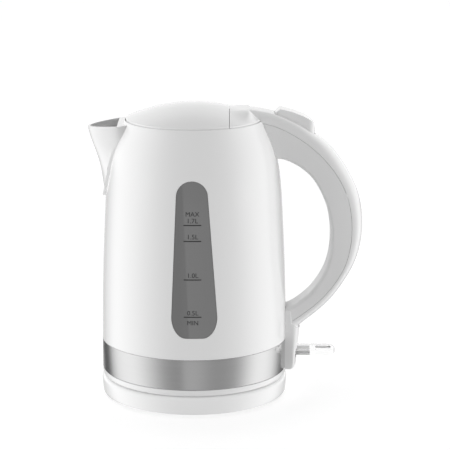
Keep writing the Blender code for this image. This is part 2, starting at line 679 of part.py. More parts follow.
def make_fasteners(mats):
    """Hinge pin, lid spring, lever pin and the two handle screws."""
    pin = along_y(rod(HINGE_PIN_RADIUS, -12.5, 12.5, 12), HINGE_X, kettle_z(HINGE_Z))
    add_object("lid_hinge_pin", pin, mats["dark_steel"])
    pin = along_y(rod(LEVER_PIN_RADIUS, -12.0, 12.0, 12), LEVER_PIVOT_X, kettle_z(LEVER_PIVOT_Z))
    add_object("lever_pin", pin, mats["dark_steel"])
    leaf = [(38.0, 212.1), (30.3, 212.1), (29.5, 210.9), (29.2, 206.5), (29.8, 206.5), (30.1, 210.7),
            (30.7, 211.5), (38.0, 211.5)]
    add_object("lid_spring", prism([(x, kettle_z(z)) for x, z in leaf], 5.0, 7.6, "Y"), mats["dark_steel"])
    profile = [(0, 57.4), (4.0, 57.4), (4.0, 58.6), (2.0, 59.8), (2.0, 72.5), (0, 73.2)]
    add_object("handle_screw_upper", along_x(turned(profile, 14), 0.0, kettle_z(192.0)), mats["dark_steel"])
    profile = [(0, 69.6), (4.0, 69.6), (4.0, 71.2), (2.0, 72.2), (2.0, 82.5), (0, 83.2)]
    add_object("handle_screw_lower", along_x(turned(profile, 14), 0.0, kettle_z(50.5)), mats["dark_steel"])


def make_switch(mats):
    """Clear lever, steam switch body and indicator lamp."""
    half = LEVER_HALF_WIDTH
    rear = LEVER_TIP_X
    outline = [(71.5, -half), (rear - 9, -half), (rear - 3.6, -half + 2.0), (rear - 0.9, -half + 5.4),
               (rear, -half + 8.8), (rear, half - 8.8), (rear - 0.9, half - 5.4), (rear - 3.6, half - 2.0),
               (rear - 9, half), (71.5, half)]
    low = kettle_z(LEVER_PIVOT_Z - LEVER_THICKNESS / 2)
    high = kettle_z(LEVER_PIVOT_Z + LEVER_THICKNESS / 2)
    lever = add_object("switch_lever", prism(outline, low, high), mats["clear"])
    boolean(lever, along_y(rod(LEVER_PIN_RADIUS + 0.3, -14, 14, 14), LEVER_PIVOT_X, kettle_z(LEVER_PIVOT_Z)))
    switch = block((57, 68.5), (-10, 10), (kettle_z(9), kettle_z(24)), 0.8)
    add_object("steam_switch", switch, mats["black"])
    lamp = along_y(rod(1.8, -6.0, 6.0, 14), 73.2, kettle_z(23.6))
    add_object("indicator_lamp", lamp, mats["lamp"])


# ---------------------------------------------------------------- lid and its release

def make_lid(mats):
    """Domed outer lid with a hinge rib, inner liner, gasket and catch."""
    steps = 9
    outer = [(LID_RADIUS * i / steps, dome_height(LID_RADIUS * i / steps)) for i in range(steps + 1)]
    outline = outer + [(LID_RADIUS, 209.0), (51.6, 209.0), (51.6, 210.4)]
    inner = [(radius - 1.8, height - 2.3) for radius, height in outer[-2:0:-1]]
    outline += inner + [(0, LID_APEX - 2.3)]
    lid = add_object("lid_shell", turned(lift_outline(outline)), mats["white"])
    rib_top = [(22.5, kettle_z(dome_height(26))), (SEAM_X, kettle_z(dome_height(31)))]
    rib = [(SEAM_X, kettle_z(215.3)), (22.5, kettle_z(215.3))]
    boolean(lid, prism(rib_top + rib, -15.0, 15.0, "Y"), "UNION")
    boolean(lid, block((SEAM_X, 70), (-70, 70), (kettle_z(190), kettle_z(240))))
    boolean(lid, along_y(rod(HINGE_PIN_RADIUS + 0.3, -12.8, 12.8, 14), HINGE_X, kettle_z(HINGE_Z)))
    for side in (-1, 1):
        ends = sorted((side * (EAR_INNER_Y - 0.4), side * (EAR_OUTER_Y + 0.4)))
        boolean(lid, block((24.2, 32), ends, (kettle_z(200), kettle_z(230))))

    liner = [(0, 208.6), (48.0, 208.6), (48.0, 202.5), (50.0, 202.5), (50.0, 203.6), (53.0, 203.6),
             (53.0, 204.0), (50.4, 204.0), (50.4, 207.4), (51.2, 207.4), (51.2, 208.7), (49.5, 210.2), (0, 210.6)]
    liner_object = add_object("lid_liner", turned(lift_outline(liner)), mats["white"])
    boolean(liner_object, block((21.0, 70), (-70, 70), (kettle_z(190), kettle_z(240))))
    gasket = [(50.7, 204.3), (53.2, 204.3), (53.4, 205.6), (53.2, 207.0), (50.7, 207.0)]
    gasket_object = add_object("lid_gasket", turned(lift_outline(gasket)), mats["silicone"])
    boolean(gasket_object, block((20.5, 70), (-70, 70), (kettle_z(190), kettle_z(240))))
    catch = [(21.5, 210.2), (21.5, 206.8), (26.2, 204.2), (28.0, 205.0), (28.0, 208.8), (25.4, 211.4),
             (25.0, 214.9), (23.0, 214.9), (23.0, 211.2)]
    add_object("lid_catch", prism([(x, kettle_z(z)) for x, z in catch], -7.8, 7.8, "Y"), mats["white"])


def make_release(mats):
    """Button on top of the handle, its return spring and the latch slider that it pushes."""
    outline = button_outline(0.0, 4.5, 0.0)
    button = add_object("lid_button", prism(outline, -BUTTON_HALF_WIDTH, BUTTON_HALF_WIDTH, "Y"), mats["white"])
    lug = [(66.5, 210.0), (70.5, 210.0), (70.5, 207.2), (68.1, 204.8), (66.5, 206.4)]
    boolean(button, prism([(x, kettle_z(z)) for x, z in lug], -3.6, 3.6, "Y"), "UNION")
    slider = [(LATCH_FRONT_X, LATCH_BOTTOM), (66.4, LATCH_BOTTOM), (63.2, LATCH_TOP), (LATCH_FRONT_X, LATCH_TOP)]
    outline = [(x, kettle_z(z)) for x, z in slider]
    add_object("latch_slider", prism(outline, -LATCH_HALF_WIDTH, LATCH_HALF_WIDTH, "Y"), mats["white"])
    coil = []
    turns = 5
    for i in range(turns * 10 + 1):
        angle = 2 * math.pi * i / 10
        height = 184.5 + 14.0 * i / (turns * 10)
        coil.append((83.0 + 3.6 * math.cos(angle), 3.6 * math.sin(angle), kettle_z(height)))
    tube("button_spring", coil, 0.45, mats["dark_steel"], sides=1)


def main():
    clear_scene()
    mats = make_materials()
    make_base_covers(mats)
    make_base_connector(mats)
    make_base_fittings(mats)
    make_body_shell(mats)
    make_window(mats)
    make_bottom(mats)
    make_socket(mats)
    make_inner_fittings(mats)
    make_handle_frame(mats)
    make_handle_cover(mats)
    make_fasteners(mats)
    make_switch(mats)
    make_lid(mats)
    make_release(mats)


main()
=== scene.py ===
"""Looks for the electric kettle: fine meshes, procedural materials, studio and camera.

Outlines are written in millimetres: heights of the jug from its own bottom edge,
heights of the base from its rim plane. SEAT and RIM_PLANE come from the frame.
"""
import json
import math

import bmesh
import bpy
import numpy as np
from mathutils import Matrix, Vector


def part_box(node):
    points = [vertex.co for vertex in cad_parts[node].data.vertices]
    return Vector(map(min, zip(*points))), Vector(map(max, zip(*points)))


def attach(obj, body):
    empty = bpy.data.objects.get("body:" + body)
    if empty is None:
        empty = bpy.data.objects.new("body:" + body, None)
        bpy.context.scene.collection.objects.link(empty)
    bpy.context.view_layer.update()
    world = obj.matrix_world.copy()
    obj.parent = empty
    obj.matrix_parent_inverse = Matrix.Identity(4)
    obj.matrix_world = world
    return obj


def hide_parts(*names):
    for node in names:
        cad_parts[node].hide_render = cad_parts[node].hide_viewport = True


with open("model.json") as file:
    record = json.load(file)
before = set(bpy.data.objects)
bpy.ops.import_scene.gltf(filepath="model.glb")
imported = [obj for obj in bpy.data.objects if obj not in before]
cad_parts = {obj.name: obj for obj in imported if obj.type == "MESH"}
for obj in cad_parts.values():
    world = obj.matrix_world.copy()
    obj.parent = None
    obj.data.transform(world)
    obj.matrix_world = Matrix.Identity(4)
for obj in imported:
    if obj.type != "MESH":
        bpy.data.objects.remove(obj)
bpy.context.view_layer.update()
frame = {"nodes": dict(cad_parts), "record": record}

MM = 0.001
TOP_COVER_RISE = 6.2                # raised centre of the base above its rim plane
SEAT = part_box("kettle_bottom_cover")[0][2] / MM
RIM_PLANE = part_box("base_top_cover")[1][2] / MM - TOP_COVER_RISE


# ------------------------------------------------------------------ mesh helpers

def cubic_spline(xs, ys):
    """Natural cubic spline through (xs, ys), as a function of one number."""
    xs = np.asarray(xs, float)
    ys = np.asarray(ys, float)
    count = len(xs)
    step = np.diff(xs)
    matrix = np.eye(count)
    right = np.zeros(count)
    for i in range(1, count - 1):
        matrix[i, i - 1] = step[i - 1]
        matrix[i, i] = 2.0 * (step[i - 1] + step[i])
        matrix[i, i + 1] = step[i]
        right[i] = 6.0 * ((ys[i + 1] - ys[i]) / step[i] - (ys[i] - ys[i - 1]) / step[i - 1])
    bend = np.linalg.solve(matrix, right)

    def value(x):
        i = int(np.clip(np.searchsorted(xs, x) - 1, 0, count - 2))
        a = xs[i + 1] - x
        b = x - xs[i]
        h = step[i]
        return float((bend[i] * a ** 3 + bend[i + 1] * b ** 3) / (6.0 * h)
                     + (ys[i] / h - bend[i] * h / 6.0) * a + (ys[i + 1] / h - bend[i + 1] * h / 6.0) * b)
    return value


def curve_through(points):
    """Smooth curve through 2-D points, as a function of a parameter from 0 to 1 along its length."""
    length = [0.0]
    for a, b in zip(points, points[1:]):
        length.append(length[-1] + math.dist(a, b))
    along = [value / length[-1] for value in length]
    first = cubic_spline(along, [point[0] for point in points])
    second = cubic_spline(along, [point[1] for point in points])
    return lambda t: (first(t), second(t))


def rounded(points, steps):
    """Outline with rounded corners: each point is (x, y) or (x, y, radius)."""
    result = []
    count = len(points)
    for i, point in enumerate(points):
        corner = Vector(point[:2])
        radius = point[2] if len(point) > 2 else 0.0
        if radius <= 0.0:
            result.append(tuple(corner))
            continue
        before = (Vector(points[i - 1][:2]) - corner).normalized()
        after = (Vector(points[(i + 1) % count][:2]) - corner).normalized()
        angle = before.angle(after)
        reach = radius / math.tan(angle / 2.0)
        start = corner + before * reach
        end = corner + after * reach
        centre = corner + (before + after).normalized() * (radius / math.sin(angle / 2.0))
        first = start - centre
        last = end - centre
        for k in range(steps + 1):
            t = k / steps
            spoke = first.slerp(last, t) if first.angle(last) > 1e-4 else first
            result.append(tuple(centre + spoke.normalized() * radius))
    return result


def to_object(name, data, angle=30.0):
    """A bmesh in millimetres becomes a smooth-shaded object in metres."""
    bmesh.ops.remove_doubles(data, verts=data.verts, dist=1e-4)
    bmesh.ops.recalc_face_normals(data, faces=data.faces)
    bmesh.ops.scale(data, vec=(MM, MM, MM), verts=data.verts)
    mesh = bpy.data.meshes.new(name)
    data.to_mesh(mesh)
    data.free()
    mesh.shade_smooth()
    mesh.set_sharp_from_angle(angle=math.radians(angle))
    item = bpy.data.objects.new(name, mesh)
    bpy.context.scene.collection.objects.link(item)
    return item


def grid(rings):
    """Skin a list of closed rings of points, with a face over each end."""
    data = bmesh.new()
    rows = [[data.verts.new(point) for point in ring] for ring in rings]
    count = len(rows[0])
    for low, high in zip(rows, rows[1:]):
        for i in range(count):
            j = (i + 1) % count
            data.faces.new((low[i], low[j], high[j], high[i]))
    data.faces.new(rows[0][::-1])
    data.faces.new(rows[-1])
    return data


def lathe(outline, segments):
    """Turn a closed (radius, height) outline about Z; points on the axis become one vertex."""
    data = bmesh.new()
    columns = []
    for radius, height in outline:
        if radius < 1e-6:
            columns.append([data.verts.new((0.0, 0.0, height))])
            continue
        ring = []
        for i in range(segments):
            angle = 2.0 * math.pi * i / segments
            ring.append(data.verts.new((radius * math.cos(angle), radius * math.sin(angle), height)))
        columns.append(ring)
    for first, second in zip(columns, columns[1:] + columns[:1]):
        if len(first) == 1 and len(second) == 1:
            continue
        for i in range(segments):
            j = (i + 1) % segments
            corners = [first[0]] if len(first) == 1 else [first[i], first[j]]
            corners += [second[0]] if len(second) == 1 else [second[j], second[i]]
            data.faces.new(corners)
    return data


def prism(outline, low, high, axis="Z"):
    """Extrude an outline between two values of one axis; points are the other two coordinates."""
    def place(a, b, value):
        return {"Z": (a, b, value), "Y": (a, value, b), "X": (value, a, b)}[axis]
    return grid([[place(a, b, value) for a, b in outline] for value in (low, high)])


def box_mesh(x_range, y_range, z_range):
    """Block between two values of each axis."""
    (left, right), (near, far) = x_range, y_range
    return prism([(left, near), (right, near), (right, far), (left, far)], *z_range)


def along_y(data, x, z):
    """Lay a piece made about Z along +Y at (x, z)."""
    turn = Matrix.Rotation(math.radians(-90.0), 3, "X")
    bmesh.ops.rotate(data, cent=(0, 0, 0), matrix=turn, verts=data.verts)
    bmesh.ops.translate(data, vec=(x, 0.0, z), verts=data.verts)
    return data


def rod(radius, low, high):
    """Round bar along Z."""
    return lathe([(0, low), (radius, low), (radius, high), (0, high)], 32)


def raised(outline, offset):
    """Shift the heights of a (radius, height) outline."""
    return [(radius, height + offset) for radius, height in outline]


def apply_boolean(target, data, operation="DIFFERENCE"):
    """Cut, join or intersect, with the result applied to the target's mesh."""
    helper = to_object("helper", data)
    modifier = target.modifiers.new("boolean", "BOOLEAN")
    modifier.operation = operation
    modifier.solver = "EXACT"
    modifier.object = helper
    apply_modifiers(target)
    mesh = helper.data
    bpy.data.objects.remove(helper)
    bpy.data.meshes.remove(mesh)


def apply_modifiers(item):
    """Replace an object's mesh by its evaluated one."""
    depsgraph = bpy.context.evaluated_depsgraph_get()
    mesh = bpy.data.meshes.new_from_object(item.evaluated_get(depsgraph))
    old = item.data
    item.modifiers.clear()
    item.data = mesh
    mesh.name = item.name
    bpy.data.meshes.remove(old)


def shade(item, angle):
    """Smooth shading, with edges above an angle in degrees kept sharp."""
    item.data.shade_smooth()
    item.data.set_sharp_from_angle(angle=math.radians(angle))


def soften(item, width, segments=2):
    """Round the sharp edges by a small radius and shade smoothly across them."""
    data = bmesh.new()
    data.from_mesh(item.data)
    bmesh.ops.remove_doubles(data, verts=data.verts, dist=2e-5)
    bmesh.ops.dissolve_degenerate(data, edges=data.edges, dist=1e-6)
    data.to_mesh(item.data)
    data.free()
    bevel = item.modifiers.new("bevel", "BEVEL")
    bevel.width = width * MM
    bevel.segments = segments
    bevel.limit_method = "ANGLE"
    bevel.angle_limit = math.radians(32.0)
    bevel.use_clamp_overlap = True
    bevel.miter_outer = "MITER_ARC"
    apply_modifiers(item)
    shade(item, 40.0)
    weighted = item.modifiers.new("weighted_normal", "WEIGHTED_NORMAL")
    weighted.keep_sharp = True
    weighted.weight = 80
    apply_modifiers(item)


def dress(piece, body, material, slot, *nodes):
    """Give a piece its material and its CAD body, and hide the CAD nodes it stands for. The slot argument is not used.
    """
    piece.data.materials.clear()
    piece.data.materials.append(material)
    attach(piece, body)
    if nodes:
        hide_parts(*nodes)


# ------------------------------------------------------------------ materials

def new_material(name, base, roughness, metallic=0.0):
    """Material with a Principled shader, and that shader and its node tree."""
    material = bpy.data.materials.new(name)
    material.use_nodes = True
    shader = material.node_tree.nodes["Principled BSDF"]
    shader.inputs["Base Color"].default_value = (*base, 1.0)
    shader.inputs["Roughness"].default_value = roughness
    shader.inputs["Metallic"].default_value = metallic
    return material, shader, material.node_tree


def link_noise(tree, scale, detail=3.0, stretch=(1.0, 1.0, 1.0)):
    """Noise in object space, in cycles per metre, with a stretch for each axis."""
    place = tree.nodes.new("ShaderNodeTexCoord")
    mapping = tree.nodes.new("ShaderNodeMapping")
    mapping.inputs["Scale"].default_value = stretch
    noise = tree.nodes.new("ShaderNodeTexNoise")
    noise.inputs["Scale"].default_value = scale
    noise.inputs["Detail"].default_value = detail
    tree.links.new(place.outputs["Object"], mapping.inputs["Vector"])
    tree.links.new(mapping.outputs["Vector"], noise.inputs["Vector"])
    return noise


def link_range(tree, source, low, high, target):
    """Map a 0 to 1 output to a range and feed it to a socket."""
    spread = tree.nodes.new("ShaderNodeMapRange")
    spread.inputs["From Min"].default_value = 0.3
    spread.inputs["From Max"].default_value = 0.7
    spread.inputs["To Min"].default_value = low
    spread.inputs["To Max"].default_value = high
    tree.links.new(source, spread.inputs["Value"])
    tree.links.new(spread.outputs["Result"], target)


def link_bump(tree, source, shader, distance, strength):
    """Feed a height to the shader's normal; the distance is in metres."""
    bump = tree.nodes.new("ShaderNodeBump")
    bump.inputs["Distance"].default_value = distance
    bump.inputs["Strength"].default_value = strength
    tree.links.new(source, bump.inputs["Height"])
    tree.links.new(bump.outputs["Normal"], shader.inputs["Normal"])


def moulded(name, base, roughness, grain=0.02, coat=0.0, scatter=0.0, ripple=0.00001, painted_glow=0.0):
    """Injection-moulded plastic: slightly uneven gloss and a faint ripple; any emission it is given is painted light,
    brightening a part that is no lamp.
    """
    material, shader, tree = new_material(name, base, roughness)
    gloss = link_noise(tree, 60.0)
    link_range(tree, gloss.outputs["Fac"], roughness - grain, roughness + grain, shader.inputs["Roughness"])
    texture = link_noise(tree, 900.0, 2.0)
    link_bump(tree, texture.outputs["Fac"], shader, ripple, 0.15)
    shader.inputs["IOR"].default_value = 1.49
    if coat > 0.0:
        shader.inputs["Coat Weight"].default_value = coat
        shader.inputs["Coat Roughness"].default_value = 0.04
    # Emission on plastic, which is no lamp: painted light that brightens the part.
    if painted_glow > 0.0:
        shader.inputs["Emission Color"].default_value = (1.0, 1.0, 1.0, 1.0)
        shader.inputs["Emission Strength"].default_value = painted_glow
    if scatter > 0.0:
        shader.inputs["Subsurface Weight"].default_value = scatter
        shader.inputs["Subsurface Radius"].default_value = (0.004, 0.004, 0.004)
        shader.inputs["Subsurface Scale"].default_value = 1.0
    return material


def brushed(name, base, roughness, around=True):
    """Steel with fine brush lines: round the jug in rings, or straight along X."""
    material, shader, tree = new_material(name, base, roughness, metallic=1.0)
    stretch = (3.0, 3.0, 5200.0) if around else (40.0, 2600.0, 40.0)
    lines = link_noise(tree, 1.0, 3.0, stretch)
    link_range(tree, lines.outputs["Fac"], roughness - 0.03, roughness + 0.05, shader.inputs["Roughness"])
    ramp = tree.nodes.new("ShaderNodeValToRGB")
    ramp.color_ramp.elements[0].position = 0.25
    ramp.color_ramp.elements[0].color = (*[value * 0.95 for value in base], 1.0)
    ramp.color_ramp.elements[1].position = 0.75
    ramp.color_ramp.elements[1].color = (*[min(1.0, value * 1.04) for value in base], 1.0)
    tree.links.new(lines.outputs["Fac"], ramp.inputs["Fac"])
    tree.links.new(ramp.outputs["Color"], shader.inputs["Base Color"])
    link_bump(tree, lines.outputs["Fac"], shader, 0.000004, 0.15)
    if around:
        tangent = tree.nodes.new("ShaderNodeTangent")
        tangent.direction_type = "RADIAL"
        tangent.axis = "Z"
        tree.links.new(tangent.outputs["Tangent"], shader.inputs["Tangent"])
        shader.inputs["Anisotropic"].default_value = 0.6
    return material


def clear(name, base, roughness, ior=1.49):
    """Clear plastic with a slightly uneven polish."""
    material, shader, tree = new_material(name, base, roughness)
    shader.inputs["Transmission Weight"].default_value = 1.0
    shader.inputs["IOR"].default_value = ior
    noise = link_noise(tree, 80.0)
    link_range(tree, noise.outputs["Fac"], roughness, roughness + 0.02, shader.inputs["Roughness"])
    return material


PAINTED_SHADE_EDGE = -0.0005                # where the window's painted shade ends, in metres
PAINTED_SHADE_LEAN = 0.039                  # how far that edge leans, across for each unit of height


def smoked_with_painted_shade(name, base, roughness):
    """Tinted window: dark body under a glossy face, with painted shade along its left side."""
    material, shader, tree = new_material(name, base, roughness)
    place = tree.nodes.new("ShaderNodeTexCoord")
    across = tree.nodes.new("ShaderNodeVectorMath")
    across.operation = "DOT_PRODUCT"
    across.inputs[1].default_value = (1.0, 0.0, PAINTED_SHADE_LEAN)
    tree.links.new(place.outputs["Object"], across.inputs[0])
    spread = tree.nodes.new("ShaderNodeMapRange")
    spread.interpolation_type = "SMOOTHSTEP"
    spread.inputs["From Min"].default_value = PAINTED_SHADE_EDGE - 0.0011
    spread.inputs["From Max"].default_value = PAINTED_SHADE_EDGE + 0.0011
    tree.links.new(across.outputs["Value"], spread.inputs["Value"])
    # The ramp darkens the window's left side: painted shade.
    ramp = tree.nodes.new("ShaderNodeValToRGB")
    ramp.color_ramp.elements[0].color = (*[value * 0.84 for value in base], 1.0)
    ramp.color_ramp.elements[1].color = (*base, 1.0)
    tree.links.new(spread.outputs["Result"], ramp.inputs["Fac"])
    tree.links.new(ramp.outputs["Color"], shader.inputs["Base Color"])
    cloud = link_noise(tree, 25.0, 2.0, (1.0, 1.0, 0.35))
    link_range(tree, cloud.outputs["Fac"], roughness, roughness + 0.05, shader.inputs["Roughness"])
    shader.inputs["Coat Weight"].default_value = 0.4
    shader.inputs["Coat Roughness"].default_value = 0.05
    return material


def weave(name, base):
    """Fine nylon mesh: a crossed wave pattern as colour and bump."""
    material, shader, tree = new_material(name, base, 0.6)
    place = tree.nodes.new("ShaderNodeTexCoord")
    waves = []
    for direction in ("Y", "Z"):
        wave = tree.nodes.new("ShaderNodeTexWave")
        wave.wave_type = "BANDS"
        wave.bands_direction = direction
        wave.inputs["Scale"].default_value = 260.0
        tree.links.new(place.outputs["Object"], wave.inputs["Vector"])
        waves.append(wave)
    mix = tree.nodes.new("ShaderNodeMath")
    mix.operation = "MAXIMUM"
    tree.links.new(waves[0].outputs["Fac"], mix.inputs[0])
    tree.links.new(waves[1].outputs["Fac"], mix.inputs[1])
    ramp = tree.nodes.new("ShaderNodeValToRGB")
    ramp.color_ramp.elements[0].color = (0.1, 0.1, 0.1, 1.0)
    ramp.color_ramp.elements[1].color = (*base, 1.0)
    tree.links.new(mix.outputs["Value"], ramp.inputs["Fac"])
    tree.links.new(ramp.outputs["Color"], shader.inputs["Base Color"])
    link_bump(tree, mix.outputs["Value"], shader, 0.0002, 0.5)
    return material


def make_materials():
    white = (0.86, 0.86, 0.86)
    return {
        "white_plastic": moulded("white_gloss", white, 0.16, coat=0.3),
        "handle_plastic": moulded("white_satin", (0.84, 0.84, 0.84), 0.36, ripple=0.00003),
        # The base's emission is painted light, brightening its top and sides.
        "base_plastic": moulded("base_white_painted_glow", (0.75, 0.75, 0.75), 0.15, coat=0.3, painted_glow=0.13),
        "brushed_steel": brushed("brushed_steel", (0.68, 0.68, 0.68), 0.17),
        "plate_steel": brushed("plate_steel", (0.6, 0.6, 0.6), 0.3, around=False),
        "spring_steel": brushed("spring_steel", (0.42, 0.42, 0.44), 0.35),
        "brass": brushed("brass", (0.75, 0.58, 0.28), 0.3),
        "black_plastic": moulded("black_satin", (0.018, 0.018, 0.018), 0.34, grain=0.05, ripple=0.00003),
        "rubber": moulded("grey_rubber", (0.5, 0.5, 0.51), 0.8, grain=0.08, ripple=0.00005),
        "silicone": moulded("milky_silicone", (0.75, 0.75, 0.75), 0.5, scatter=0.3),
        "smoked_window": smoked_with_painted_shade("smoked_window", (0.225, 0.225, 0.225), 0.12),
        "clear_acrylic": clear("clear_acrylic", (0.93, 0.93, 0.93), 0.02, ior=1.46),
        "neon_lamp": clear("neon_lamp", (0.95, 0.6, 0.4), 0.1),
        "wire_insulation": moulded("wire_insulation", (0.08, 0.13, 0.4), 0.45),
        "filter_mesh": weave("filter_mesh", (0.8, 0.8, 0.8)),
        "print": moulded("gauge_print", (0.035, 0.035, 0.035), 0.4),
        "stem": moulded("lever_stem", (0.85, 0.85, 0.85), 0.35),
    }


# ------------------------------------------------------------------ base

def make_base():
    """Top cover with its lip, groove and raised centre, and the black connector."""
    outer = [(74.9, -13.3), (75.2, -12.7), (75.7, -10.0), (76.1, -5.0), (76.2, -2.2), (76.05, -1.2), (75.7, -0.4),
             (75.1, 0.25), (74.3, 0.75), (73.3, 1.05), (72.5, 1.1), (72.15, 1.0), (72.0, 0.6), (71.6, 0.6),
             (71.4, 0.95), (71.1, 1.05), (64.5, 1.15), (64.2, 1.0), (63.9, 1.15), (52.0, 1.15)]
    slope = [(50.0, 1.15), (47.5, 1.35), (44.5, 1.95), (41.0, 2.85), (37.0, 3.9), (33.5, 4.7), (30.5, 5.2),
             (28.2, 5.4), (27.2, 5.45), (26.9, 5.8), (26.6, 6.1), (26.1, 6.2), (19.6, 6.2), (19.2, 5.9), (16.6, 5.9)]
    inner = [(16.6, 3.8), (33, 2.6), (48, -1.2), (72.5, -1.2), (73.4, -3.0), (73.1, -13.3)]
    top = to_object("base_top", lathe(raised(outer + slope + inner, RIM_PLANE), 192))
    gland_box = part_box("cord_gland")
    gland_z = (gland_box[0][2] + gland_box[1][2]) / 2.0 / MM
    gland_hole = along_y(rod(4.8, 68, 80), 0.0, gland_z)
    apply_boolean(top, gland_hole)
    shade(top, 30.0)
    dress(top, "base", MATERIALS["base_plastic"], "base_plastic", "base_top_cover")

    outline = [(0, -9), (16.0, -9), (16.0, 6.5), (18.5, 6.5), (18.8, 6.7), (18.8, 7.2), (18.3, 7.5), (17.3, 8.1),
               (15.8, 9.1), (14.3, 10.3), (13.3, 11.4), (12.85, 12.1), (12.7, 12.9), (12.7, 16.9), (12.8, 17.1),
               (12.8, 17.9), (13.15, 18.15), (13.2, 18.5), (13.2, 18.9), (13.05, 19.3), (12.7, 19.6), (12.3, 19.7),
               (9.4, 19.7), (8.9, 19.6), (8.5, 19.2), (8.4, 18.6), (8.4, 10.0), (6.2, 10.0), (6.2, 18.6),
               (6.1, 19.1), (5.7, 19.4), (5.3, 19.45), (2.4, 19.45), (2.0, 19.3), (1.8, 18.9), (1.8, 8.0), (0, 8.0)]
    plug = to_object("base_plug", lathe(raised(outline, RIM_PLANE), 96))
    shade(plug, 35.0)
    dress(plug, "base", MATERIALS["black_plastic"], "black_plastic", "base_connector")


# ------------------------------------------------------------------ jug

WALL_FOOT = 30.2                    # the wall starts here, above the band
WALL_TOP = 209.5
WALL = 2.5
BODY_HEIGHTS = [WALL_FOOT, 48, 90, 134, 163, 178, 190, 202, WALL_TOP]
BODY_RADII = [75.5, 75.3, 74.3, 72.3, 70.2, 67.8, 64.5, 59.6, 56.4]
body_radius = cubic_spline(BODY_HEIGHTS, BODY_RADII)

SPOUT_HEIGHTS = [147.5, 151, 158, 168, 180, 190, 200, 205, 214]
SPOUT_TIPS = [-71.2, -71.9, -73.2, -74.6, -77.5, -81.0, -84.3, -85.3, -86.6]
SPOUT_WIDTHS = [0.6, 8.5, 14.5, 17.9, 19.0, 20.3, 22.6, 24.0, 25.5]
spout_tip = cubic_spline(SPOUT_HEIGHTS, SPOUT_TIPS)
spout_width = cubic_spline(SPOUT_HEIGHTS, SPOUT_WIDTHS)


def spout_section(height, wall=0.0):
    """Horizontal outline of the beak, a parabola from its tip back to the jug wall."""
    points = 17
    tip = spout_tip(height) + wall * 1.1
    half = max(spout_width(height) - wall, 0.5)
    root = -math.sqrt(max(body_radius(min(height, WALL_TOP)) ** 2 - half ** 2, 0.0))
    if height > 190:
        root = min(root, -58.5 - 1.5 * min(1.0, (height - 190) / 10))
    side = [(tip + (root - tip) * (0.9 * i / points) ** 2, half * 0.9 * i / points) for i in range(points + 1)]
    side += [(root - 2.5, half * 0.94), (root - 0.8, half * 0.965), (root + 0.8, half * 0.975),
             (root + 2.4, half * 0.97), (root + 4.0, half * 0.955), (root + 6.0, half * 0.92),
             (root + 8.5, half * 0.84), (-44.0, half * 0.66)]
    return [(x, -y) for x, y in reversed(side[1:])] + side


def spout_lip(x):
    """Height of the beak's top edge, rising from the tip towards the body."""
    return 204.9 + (x + 85.3) * 0.11


LENS_DEPTH = 0.25                   # the window's face lies this far inside the wall's


def window_outline(inset):
    """The window's outline in X and height: narrow round top, wide bottom with round corners."""
    low = 47.7 + inset
    top_half = 12.5 - inset
    low_half = 18.1 - inset
    corner = 11.5
    corner_height = 17.0
    outline = []
    for i in range(25):
        angle = math.pi * i / 24
        outline.append((-0.4 + top_half * math.cos(angle), 172.6 - inset - top_half + top_half * math.sin(angle)))
    for start, side in ((1.0, -1), (1.5, 1)):
        for i in range(13):
            angle = math.pi * (start + i / 24)
            x = 1.2 + side * (low_half - corner) + corner * math.cos(angle)
            outline.append((x, low + corner_height + corner_height * math.sin(angle)))
    return outline


def window_solid(inset):
    """Block that cuts the window's shape through the near wall."""
    return prism([(x, z + SEAT) for x, z in window_outline(inset)], -84.0, -58.0, "Y")


def make_jug():
    """Jug wall with the beak, the rim, the window opening and the switch opening."""
    heights = [WALL_FOOT + (WALL_TOP - WALL_FOOT) * i / 54 for i in range(55)]
    wall = [(body_radius(z), z) for z in heights]
    rim = [(56.25, 209.85), (55.95, 210.15), (55.6, 210.3), (0, 210.3)]
    solid = [(0, 5.7), (74.4, 5.7), (74.4, 29.95), (74.7, 30.05), (75.35, 30.05)] + wall + rim
    jug = to_object("jug_body", lathe(raised(solid, SEAT), 176))

    levels = [147.5 + (199.5 - 147.5) * i / 26 for i in range(27)]
    rings = [[(x, y, z + SEAT) for x, y in spout_section(z)] for z in levels]
    rings.append([(x, y, (199.5 + spout_lip(x)) / 2 + SEAT) for x, y in spout_section(202.2)])
    rings.append([(x, y, spout_lip(x) + SEAT) for x, y in spout_section(205)])
    apply_boolean(jug, grid(rings), "UNION")

    inner = [(body_radius(z) - WALL, z) for z in heights if 40 < z < 204]
    cavity = [(0, 2), (72.6, 2), (72.6, 35.4), (70.4, 35.4), (70.4, 37.0), (72.9, 37.0)] + inner
    cavity += [(55.25, 206.0), (55.25, 216), (0, 216)]
    apply_boolean(jug, lathe(raised(cavity, SEAT), 176))

    levels = [160 + 45 * i / 18 for i in range(19)]
    rings = [[(x, y, z + SEAT) for x, y in spout_section(z, 1.9)] for z in levels]
    apply_boolean(jug, grid(rings))
    mouth = [(x, y) for x, y in spout_section(205, 1.9) if x < -59.4]
    apply_boolean(jug, prism(mouth, SEAT + 203.0, SEAT + 216.0))

    apply_boolean(jug, window_solid(0.0))
    apply_boolean(jug, box_mesh((64, 82), (-10.9, 10.9), (SEAT + 8, SEAT + 27)))
    apply_boolean(jug, box_mesh((50, 64), (-4.6, 4.6), (SEAT + 204.4, SEAT + 216)))
    soften(jug, 0.45)
    dress(jug, "kettle", MATERIALS["white_plastic"], "white_plastic", "body_shell")


